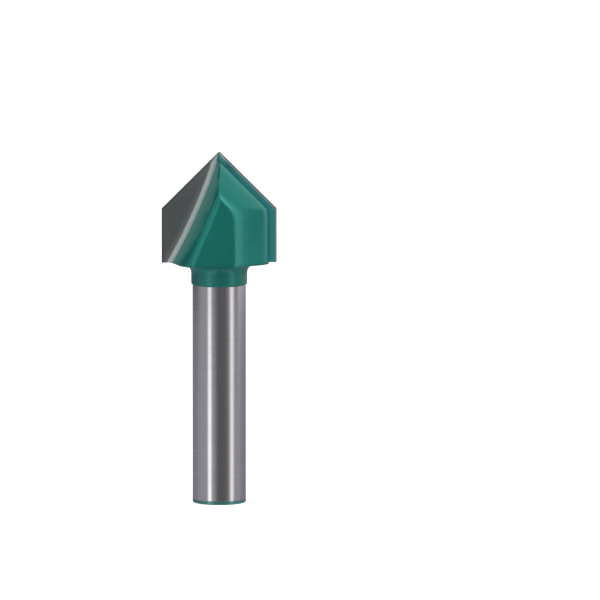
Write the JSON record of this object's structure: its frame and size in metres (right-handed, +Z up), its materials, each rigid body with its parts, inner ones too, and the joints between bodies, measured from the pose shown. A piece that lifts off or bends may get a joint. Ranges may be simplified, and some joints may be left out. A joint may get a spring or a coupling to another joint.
{
  "type": "v groove router bit",
  "caption": "Router bit with a straight shank, a short neck and a pointed head that carries brazed carbide tips, for cutting V grooves and chamfers in wood",
  "frame": {"origin": "centre of the flat tail end of the shank", "axes": "+Z runs up the shank's axis to the point of the V. +X and -X are the sides that the two carbide tips stand out to. The tip on the -X side has its cutting face toward -Y, and the tip on the +X side has its cutting face toward +Y."},
  "size_m": [0.0172, 0.013, 0.0528],
  "materials": {
    "tool_body": "ground steel shank, with green gloss paint on the neck, the head and the tail",
    "carbide": "finely ground dark grey carbide",
    "braze": "bright silver braze"
  },
  "bodies": {
    "root": {"tool_body": "tool_body", "left_carbide_tip": "carbide", "right_carbide_tip": "carbide", "left_braze_seam": "braze", "right_braze_seam": "braze"}
  },
  "joints": []
}
